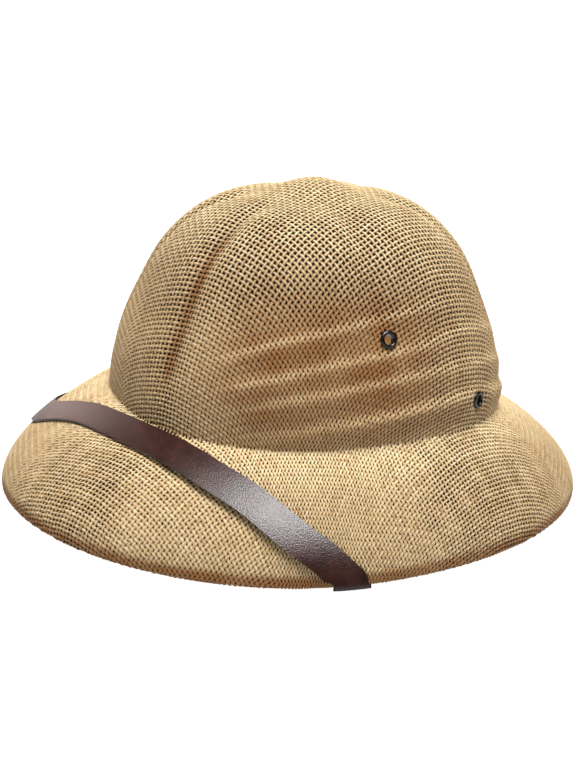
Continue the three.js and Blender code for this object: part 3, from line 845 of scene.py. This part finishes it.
def strips_mesh(name, yarns):
    lengths = [len(y[0]) for y in yarns]
    places, swings, rooms = (np.concatenate([y[k] for y in yarns]) for k in range(3))
    heights = swings * YARN_SWING + YARN_MIDDLE
    points = from_map(places)
    slopes = [
        from_map(places + step * NET_NUDGE) - from_map(places - step * NET_NUDGE)
        for step in (np.array((1, 0)), np.array((0, 1)))
    ]
    outward = unit(np.cross(*slopes))
    tangent = np.zeros_like(points)
    tangent[1:-1] = points[2:] - points[:-2]
    ends = np.cumsum(lengths)
    starts = ends - lengths
    tangent[starts] = points[starts + 1] - points[starts]
    tangent[ends - 1] = points[ends - 1] - points[ends - 2]
    sideways = unit(np.cross(outward, tangent))
    tight = tightness(places)
    fill = OPEN_FILL + (TIGHT_FILL - OPEN_FILL) * tight
    width = np.minimum(fill, YARN_FILL * rooms) * pitch_at(places)
    width = width * (1 + random.normal(0, YARN_WIDTH_SPREAD, len(width)))
    wander = random.normal(0, YARN_WANDER, len(width)) * np.clip(rooms, 0.3, 1)
    middle = points + outward * heights[:, None] + sideways * wander[:, None]
    corners = [
        middle + sideways * (width * x)[:, None] + outward * (YARN_THICKNESS * y)
        for x, y in YARN_CORNERS
    ]
    vertices = np.stack(corners, 1).reshape(-1, 3)
    mesh = bpy.data.meshes.new(name)
    mesh.from_pydata(vertices, [], strip_faces(lengths))
    tone = np.concatenate([yarn_tones(n) for n in lengths])
    # Painted shade, stored as "deep": dark where the yarn dives under another and on its lower
    # corners.
    deep = (0.5 - 0.5 * swings) * (1 - SHADE_EASED_WHERE_TIGHT * tight)
    for label, values in (("tone", tone), ("toast", toast_and_shade_at(places)), ("deep", deep)):
        at_corners = np.repeat(values, 4)
        if label == "deep":
            at_corners = np.clip(at_corners + np.tile(SHADED_LOWER_CORNERS, len(values)), 0, 1)
        layer = mesh.attributes.new(label, "FLOAT", "POINT")
        layer.data.foreach_set("value", at_corners.astype(np.float32))
    strips = bpy.data.objects.new(name, mesh)
    bpy.context.collection.objects.link(strips)
    deselect_all()
    strips.select_set(True)
    bpy.context.view_layer.objects.active = strips
    bpy.ops.object.shade_smooth()
    return strips


def in_thirds(yarns):
    """Three groups of neighbouring yarns with about as much straw in each."""
    total = np.cumsum([len(y[0]) for y in yarns])
    marks = [0, *np.searchsorted(total, total[-1] * np.array([1, 2, 3]) / 3 + 1)]
    return [yarns[a:b] for a, b in zip(marks[:-1], marks[1:])]


straw_pieces = []
for family, yarns in (("warp", warp_yarns), ("weft", weft_yarns)):
    for number, group in enumerate(in_thirds(yarns), 1):
        straw_pieces.append(strips_mesh(f"straw_{family}_{number}", group))
print("straw triangles:", [count_triangles(p) for p in straw_pieces])

# %% [markdown]
# ## Eyelets
#
# An eyelet is a little metal tube whose ends are rolled outwards. A potter would throw it: start
# from one circle and pull it up and out, ring by ring, until the last ring meets the first. That
# is an extrude and a resize for each step of the outline. One is modelled and copied four times.

# %% Throw one eyelet
EYELET_OUTLINE = np.array([
    (2.75, -2.6), (2.85, -3.1), (3.3, -3.5), (4.0, -3.5), (4.6, -3.1), (4.7, -2.8), (3.6, -2.75),
    (3.6, 0.1), (4.9, 0.12), (5.0, 0.3), (4.93, 0.62), (4.65, 0.98), (4.25, 1.25), (3.8, 1.38),
    (3.4, 1.3), (3.05, 1.08), (2.83, 0.72), (2.75, 0.2), (2.75, -2.6),
]) * MM


def throw_ring(name, outline, sides):
    deselect_all()
    radius, height = outline[0]
    bpy.ops.mesh.primitive_circle_add(vertices=sides, radius=radius, location=(0, 0, height))
    ring = bpy.context.object
    ring.name = name
    bpy.ops.object.transform_apply(location=True)
    bpy.ops.object.mode_set(mode="EDIT")
    bpy.ops.mesh.select_all(action="SELECT")
    for (near, low), (far, high) in zip(outline[:-1], outline[1:]):
        bpy.ops.mesh.extrude_region_move(TRANSFORM_OT_translate={"value": (0, 0, high - low)})
        bpy.ops.transform.resize(value=(far / near, far / near, 1), center_override=(0, 0, high))
    bpy.ops.object.mode_set(mode="OBJECT")
    clean_mesh(ring, 0.005 * MM)
    bpy.ops.object.shade_smooth_by_angle(angle=math.radians(50))
    return ring


eyelet_pattern = throw_ring("eyelet_pattern", EYELET_OUTLINE, 40)
eyelets = []
for label, placed in EYELET_FRAMES.items():
    eyelet = eyelet_pattern.copy()
    eyelet.data = eyelet_pattern.data.copy()
    eyelet.name = f"eyelet_{label}"
    eyelet.data.transform(placed)
    bpy.context.collection.objects.link(eyelet)
    eyelets.append(eyelet)
bpy.data.objects.remove(eyelet_pattern)
print("eyelet triangles:", count_triangles(eyelets[0]))

# %% [markdown]
# ## The chin strap
#
# The strap is one flat band of coated leather. Its ends are held inside the crown, from where it
# runs out under the brim, folds round the rim and lies over the front of the brim. So its whole
# route is on the hat's own skin, and the table below says where: "reach" is 0 at the base line,
# 1 at the rim, 2 at the inside of the hem and 3 at the base line again, but inside. The photograph
# shows only the run over the front and the left. On the left its outer edge stands off the brim.
# The rest is a guess, and on the right it lies further out than the CAD strap does.

# %% The strap's route
STRAP_WIDTH, STRAP_THICKNESS = 17.6 * MM, 1.7 * MM
STRAP_LIFT, STRAP_UNDER_LIFT = 0.32 * MM, 0.65 * MM
INSIDE_ROUTE = [
    (98.0, 3.049, 1), (98.0, 3.001, 1), (98.0, 3.0, 1), (95.2, 2.8, 0.8), (91.6, 2.55, 0.4),
    (87.6, 2.35, 0.5), (84.4, 2.19, 1), (82.6, 2.08, 1), (81.4, 2.0, 1), (81.2, 1.833, 1),
    (81.0, 1.667, 1), (80.6, 1.333, 1), (80.4, 1.167, 1), (80.2, 1.0, 1),
]
OVER_ROUTE = [
    (77.9, 0.87, 0.5), (73.2, 0.69, 0.1), (60.4, 0.38, 0), (46.6, 0.218, 0), (37.3, 0.15, 0),
    (29.0, 0.118, 0), (20.5, 0.11, 0), (11.0, 0.12, 0), (0.9, 0.16, 0), (-8.5, 0.25, 0),
    (-21.5, 0.42, 0), (-36.0, 0.54, 0), (-50.0, 0.61, 0), (-63.0, 0.69, 0), (-73.2, 0.78, 0.1),
    (-77.9, 0.88, 0.5),
]
OTHER_SIDE = [(-around, reach, slant) for around, reach, slant in reversed(INSIDE_ROUTE)]
ROUTE = np.array(INSIDE_ROUTE + OVER_ROUTE + OTHER_SIDE)
ROUTE_AT = np.arange(len(ROUTE), dtype=float)
print("route rows:", len(ROUTE))


# %% The skin that the strap lies on
def strap_skin(around, reach, lift):
    lift = lift + 0 * reach
    turn, back, above = np.radians(180 * (reach - 1)), 3 - reach, 90 * (reach - 3)
    return by_zone(reach.shape, [
        (reach <= 1, lambda m: brim_face(around[m], reach[m], -lift[m])),
        ((reach > 1) & (reach <= 2), lambda m: hem_face(around[m], turn[m], lift[m])),
        (
            (reach > 2) & (reach <= 3),
            lambda m: brim_face(around[m], back[m], brim_thickness(back[m]) + lift[m]),
        ),
        (reach > 3, lambda m: crown_face(around[m], above[m], WALL + lift[m])),
    ])


def skin_slopes(around, reach):
    low, high = np.maximum(reach - 0.002, 0), reach + 0.002
    ahead, behind = strap_skin(around + 0.2, reach, 0.0), strap_skin(around - 0.2, reach, 0.0)
    up, down = strap_skin(around, high, 0.0), strap_skin(around, low, 0.0)
    return (ahead - behind) / 0.4, (up - down) / (high - low)[..., None]


def dot(one, other):
    return (one * other).sum(-1)


def walk(around, reach, direction, distance, steps=5):
    """Walks over the skin in a direction of space."""
    for _ in range(steps):
        p, q = skin_slopes(around, reach)
        move = direction * (distance / steps)[..., None]
        pp, pq, qq, pm, qm = dot(p, p), dot(p, q), dot(q, q), dot(p, move), dot(q, move)
        spread = pp * qq - pq * pq
        around = around + (pm * qq - qm * pq) / spread
        reach = np.maximum(reach + (qm * pp - pm * pq) / spread, 0.02)
    return around, reach


# %% The two edges of the strap
def strap_stations():
    """Finer steps over the brim, and the table's own rows where the strap folds and hides."""
    over = (len(INSIDE_ROUTE) - 1, len(ROUTE) - len(INSIDE_ROUTE))
    stations = [
        row + step / (6 if over[0] <= row < over[1] else 1)
        for row in range(len(ROUTE))
        for step in range(6 if over[0] <= row < over[1] else 1)
    ]
    return np.array(stations, float)


def strap_edges(at):
    around, reach, slant = (through_table(ROUTE_AT, ROUTE[:, k], at) for k in range(3))
    slant = np.clip(slant, 0, 1)[:, None]
    low, high = np.maximum(at - 0.5, 0), np.minimum(at + 0.5, len(ROUTE) - 1)
    turn, advance = (
        through_table(ROUTE_AT, ROUTE[:, k], high) - through_table(ROUTE_AT, ROUTE[:, k], low)
        for k in range(2)
    )
    p, q = skin_slopes(around, reach)
    forward = unit(p * turn[:, None] + q * advance[:, None])
    square = unit(np.cross(unit(np.cross(p, q)), forward))
    level = unit(p)
    level = np.where(dot(level, square)[:, None] < 0, -level, level)
    across = unit(square * (1 - slant) + level * slant)
    half = STRAP_WIDTH / 2 / np.maximum(dot(across, square), 0.75)
    return walk(around, reach, across, half), walk(around, reach, across, -half)


# %% Lay the strap as a sheet and give it thickness
STRAP_ACROSS = np.linspace(0, 1, 13)
STRAP_CROWN = 0.12 * MM
STRAP_STANDOFF = 1.6 * MM
STRAP_SHEET = 1.4 * MM
MIDDLE = len(STRAP_ACROSS) // 2


def make_strap():
    first, second = strap_edges(strap_stations())
    around = first[0] + (second[0] - first[0]) * STRAP_ACROSS[:, None]
    reach = first[1] + (second[1] - first[1]) * STRAP_ACROSS[:, None]
    lift = STRAP_LIFT + (STRAP_UNDER_LIFT - STRAP_LIFT) * smooth_step(reach, 1.9, 2.08)
    outer = np.where(first[1] > second[1], 1 - STRAP_ACROSS[:, None], STRAP_ACROSS[:, None])
    beside = smooth_step((around[MIDDLE] + 180) % 360 - 180, 15, 40)
    lift = lift + STRAP_STANDOFF * outer * beside * (1 - smooth_step(reach[MIDDLE], 0.55, 0.85))
    crowned = STRAP_CROWN * (1 - (2 * STRAP_ACROSS - 1) ** 4)[:, None]
    points = strap_skin(around, reach, lift + STRAP_THICKNESS - STRAP_CROWN + crowned)
    strap = wrapped_sheet("strap", points)
    length = np.linalg.norm(np.diff(points[MIDDLE], axis=0), axis=1).sum()
    return strap, length


strap, strap_length = make_strap()
apply_modifier(
    strap, "SOLIDIFY", thickness=STRAP_SHEET, offset=-1.0, use_even_offset=False,
    material_offset_rim=1,
)
bpy.ops.object.shade_smooth_by_angle(angle=math.radians(40))
print("strap length:", round(strap_length, 3), "m,", count_triangles(strap), "triangles")

# %% [markdown]
# ## Materials
#
# Each material is a small net of shader nodes. A helper adds a node and sets its sockets, so that
# a recipe below reads from top to bottom. Patterns read Object coordinates or what the mesh
# carries, so they stay with the hat wherever it goes.


# %% A helper for shader recipes
class Recipe:
    def __init__(self, name):
        self.material = bpy.data.materials.new(name)
        self.material.use_nodes = True
        self.tree = self.material.node_tree
        self.shader = self.tree.nodes["Principled BSDF"]

    def add(self, kind, sockets=None, **settings):
        node = self.tree.nodes.new(kind)
        for key, value in settings.items():
            setattr(node, key, value)
        for socket, value in (sockets or {}).items():
            self.put(node, socket, value)
        return node

    def put(self, node, socket, value):
        target = node.inputs[socket]
        if isinstance(value, bpy.types.NodeSocket):
            self.tree.links.new(value, target)
        else:
            target.default_value = value

    def math(self, operation, *values):
        node = self.add("ShaderNodeMath", dict(enumerate(values)), operation=operation)
        return node.outputs[0]

    def mix(self, factor, one, other, blend="MIX"):
        sockets = {0: factor, 6: one, 7: other}
        node = self.add("ShaderNodeMix", sockets, data_type="RGBA", blend_type=blend)
        return node.outputs[2]

    def noise(self, scale, detail=2.0, where=None):
        sockets = {"Vector": where or self.object_place(), "Scale": scale, "Detail": detail}
        return self.add("ShaderNodeTexNoise", sockets).outputs["Fac"]

    def object_place(self):
        return self.add("ShaderNodeTexCoord").outputs["Object"]

    def carried(self, name):
        return self.add("ShaderNodeAttribute", attribute_name=name).outputs["Fac"]

    def ramp(self, value, stops):
        node = self.add("ShaderNodeValToRGB", {"Fac": value})
        ramp = node.color_ramp
        ramp.elements[0].position, ramp.elements[0].color = stops[0][0], colour(stops[0][1])
        ramp.elements[1].position, ramp.elements[1].color = stops[-1][0], colour(stops[-1][1])
        for position, tint in stops[1:-1]:
            ramp.elements.new(position).color = colour(tint)
        return node.outputs["Color"]

    def bump(self, height, strength, distance):
        sockets = {"Height": height, "Strength": strength, "Distance": distance}
        return self.add("ShaderNodeBump", sockets).outputs["Normal"]

    def finish(self, **sockets):
        for socket, value in sockets.items():
            self.put(self.shader, socket.replace("_", " "), value)
        return self.material


def colour(tint):
    """A screen colour from 0 to 255 as the linear values that a shader wants."""
    parts = [v / 255 for v in tint]
    linear = [p / 12.92 if p <= 0.04045 else ((p + 0.055) / 1.055) ** 2.4 for p in parts]
    return (*linear, 1.0)


# %% [markdown]
# ## Straw
#
# Paper straw is matt. The yarn's tone picks a colour between honey and cream, a fine noise breaks
# it up into fibres, and a stored value pulls it to brown: toast and painted shade along the rim, a
# dark line in each crease, painted shade low on the crown and a painted highlight on the lips of
# the folds, where that shade is eased. "deep" darkens it as painted shade where a yarn dives under
# another and along its lower edges. Its bump is very shallow, because the weave itself is real.


# %% Straw material
def straw_recipe():
    recipe = Recipe("woven_paper_straw")
    fibres = recipe.noise(1500.0, 3.0)
    blotches = recipe.noise(28.0, 3.0)
    tone = recipe.carried("tone")
    for pattern, strength in ((fibres, 0.5), (blotches, 0.35)):
        swing = recipe.math("SUBTRACT", pattern, 0.5)
        tone = recipe.math("MULTIPLY_ADD", swing, strength, tone)
    straw = recipe.ramp(tone, [
        (0.1, (178, 148, 106)), (0.4, (203, 178, 134)),
        (0.65, (211, 189, 146)), (0.95, (224, 206, 166)),
    ])
    # Brown from the stored value: toast and painted shade along the rim, painted shade low on the
    # crown, a painted highlight on the fold lips.
    toast = recipe.math("MULTIPLY", recipe.carried("toast"), recipe.math("ADD", blotches, 0.45))
    tint = recipe.mix(toast, straw, colour((138, 95, 52)))
    # Painted shade from "deep": darker where a yarn dives under another and on its lower edges.
    shade = recipe.math("MULTIPLY", recipe.carried("deep"), 0.75)
    tint = recipe.mix(shade, tint, colour((92, 60, 34)), "MULTIPLY")
    bump = recipe.bump(fibres, 0.25, 0.00012)
    return recipe.finish(Base_Color=tint, Roughness=0.65, Normal=bump, Specular_IOR_Level=0.25)


straw_material = straw_recipe()
for piece in straw_pieces:
    piece.data.materials.append(straw_material)
print("straw on", len(straw_pieces), "pieces")


# %% The wall behind the straw
def two_tones(name, scale, detail, dark, light, **sockets):
    recipe = Recipe(name)
    tint = recipe.ramp(recipe.noise(scale, detail), [(0.3, dark), (0.7, light)])
    return recipe.finish(Base_Color=tint, **sockets)


def paint(obj, *materials):
    obj.data.materials.clear()
    for material in materials:
        obj.data.materials.append(material)


# The shell's outside is painted near-black brown as painted shade in the cells between the yarns;
# its inside is plain straw.
paint(
    helmet_body,
    two_tones(
        "straw_wall", 90.0, 3.0, (18, 9, 5), (32, 18, 11), Roughness=0.9, Specular_IOR_Level=0.15
    ),
    two_tones(
        "straw_inside", 60.0, 3.0, (176, 134, 84), (206, 168, 116),
        Roughness=0.8, Specular_IOR_Level=0.25,
    ),
)
middle_row = (len(OUTSIDE_ROWS) + len(HEM_TURNS)) / (
    len(OUTSIDE_ROWS) + len(HEM_TURNS) + len(INSIDE_BRIM) + len(INSIDE_CROWN) - 1
)
sheet_map = helmet_body.data.uv_layers[0].data
for face in helmet_body.data.polygons:
    height = sum(sheet_map[k].uv[1] for k in face.loop_indices) / face.loop_total
    face.material_index = int(height > middle_row)
print("faces inside:", sum(f.material_index for f in helmet_body.data.polygons))


# %% [markdown]
# ## Leather and metal
#
# The strap's highlight lies where flat leather would not put it. So its shading normal leans by a
# fixed vector, chosen to match the photograph's angle. It is a liberty and not a property of
# leather, and from another side the highlight can fall in the wrong place.

# %% Leather, gunmetal and brass
STRAP_LEAN = (0, -0.12, 0.42)


def leather_recipe():
    recipe = Recipe("coated_leather")
    where = recipe.object_place()
    grain = recipe.noise(1300.0, 2.0, where)
    wrinkles = recipe.noise(140.0, 4.0, where)
    tint = recipe.ramp(wrinkles, [(0.3, (32, 12, 8)), (0.7, (50, 22, 16))])
    height = recipe.math("MULTIPLY_ADD", wrinkles, 0.4, grain)
    bump = recipe.bump(height, 0.6, 0.0003)
    up = recipe.add(
        "ShaderNodeVectorTransform", {"Vector": STRAP_LEAN}, vector_type="VECTOR",
        convert_from="OBJECT", convert_to="WORLD",
    )
    face = recipe.add("ShaderNodeNewGeometry").outputs["Normal"]
    leaning = recipe.add("ShaderNodeVectorMath", {0: face, 1: up.outputs[0]}, operation="ADD")
    leaning = recipe.add("ShaderNodeVectorMath", {0: leaning.outputs[0]}, operation="NORMALIZE")
    recipe.put(bump.node, "Normal", leaning.outputs[0])
    rough = recipe.add("ShaderNodeMapRange", {"Value": wrinkles, "To Min": 0.27, "To Max": 0.36})
    return recipe.finish(
        Base_Color=tint, Roughness=rough.outputs["Result"], Normal=bump, Specular_IOR_Level=0.36,
    )


def metal_recipe(name, dark, light, roughness):
    recipe = Recipe(name)
    scuffs = recipe.noise(900.0, 4.0)
    tint = recipe.ramp(scuffs, [(0.3, dark), (0.7, light)])
    bump = recipe.bump(scuffs, 0.15, 0.00005)
    return recipe.finish(Base_Color=tint, Metallic=1.0, Roughness=roughness, Normal=bump)


# The strap's side faces are near black.
edge_material = two_tones(
    "strap_edge_paint", 300.0, 2.0, (16, 9, 8), (30, 18, 15), Roughness=0.5
)
gunmetal_material = metal_recipe("gunmetal", (46, 43, 41), (72, 67, 64), 0.3)
brass_material = metal_recipe("brass", (150, 118, 66), (178, 144, 86), 0.35)
paint(strap, leather_recipe(), edge_material)
for eyelet in eyelets:
    paint(eyelet, gunmetal_material)
for name in ("strap_stud_left", "strap_stud_right"):
    paint(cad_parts[name], brass_material)

# %% [markdown]
# ## Pieces that stand in for CAD nodes
#
# A piece that stands in for a CAD node rides on the one body, and the CAD node is hidden.

# %% Ride and replace
for piece in (helmet_body, *straw_pieces):
    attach(piece, "root")
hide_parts("shell")
for eyelet in eyelets:
    side, level = eyelet.name.split("_")[1:]
    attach(eyelet, "root")
    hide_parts(f"vent_{side}_{level}")
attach(strap, "root")
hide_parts("chin_strap")
print("pieces:", 2 + len(straw_pieces) + len(eyelets))

# %% [markdown]
# ## Floor and light
#
# The photograph has soft light from above, and white all round without a shadow. One wide sun gives
# the light, and a weak warm lamp catches the strap's left end. The floor gives off light of its
# own. That keeps it white under the brim, and it also lights the hat a little from below, which a
# plain floor would not do.

# %% Floor, lamps and sky
deselect_all()
bpy.ops.mesh.primitive_grid_add(
    x_subdivisions=8, y_subdivisions=8, size=120, location=(0, 0, -0.0005)
)
floor = bpy.context.object
floor.name = "studio_floor"
bpy.ops.object.transform_apply(location=True)
floor_recipe = Recipe("studio_paper")
paper = floor_recipe.ramp(floor_recipe.noise(3.0), [(0.2, (108, 108, 108)), (0.8, (114, 114, 114))])
floor.data.materials.append(floor_recipe.finish(
    Base_Color=paper, Roughness=0.9, Emission_Color=(1, 1, 1, 1), Emission_Strength=1.0,
))


def add_light(kind, name, place, direction, power):
    turn = direction.to_track_quat("Z", "Y").to_euler()
    bpy.ops.object.light_add(type=kind, location=place, rotation=turn)
    light = bpy.context.object
    light.name = name
    light.data.energy = power
    return light.data


SUN_DIRECTION = toward(100, 82)
EDGE_PLACE = Vector((-2.1, -0.18, 0.74))
sun = add_light("SUN", "top_light", SUN_DIRECTION * 3, SUN_DIRECTION, 6.9)
sun.angle = math.radians(30)
edge_lamp = add_light("AREA", "edge_lamp", EDGE_PLACE, EDGE_PLACE - AIM, 5)
edge_lamp.shape, edge_lamp.size = "DISK", 0.6
edge_lamp.color = (1.0, 0.78, 0.72)

sky = bpy.context.scene.world or bpy.data.worlds.new("studio")
bpy.context.scene.world = sky
sky.use_nodes = True
sky.node_tree.nodes["Background"].inputs["Color"].default_value = (1, 1, 1, 1)
sky.node_tree.nodes["Background"].inputs["Strength"].default_value = 0.1
bpy.context.scene.view_settings.view_transform = "Standard"
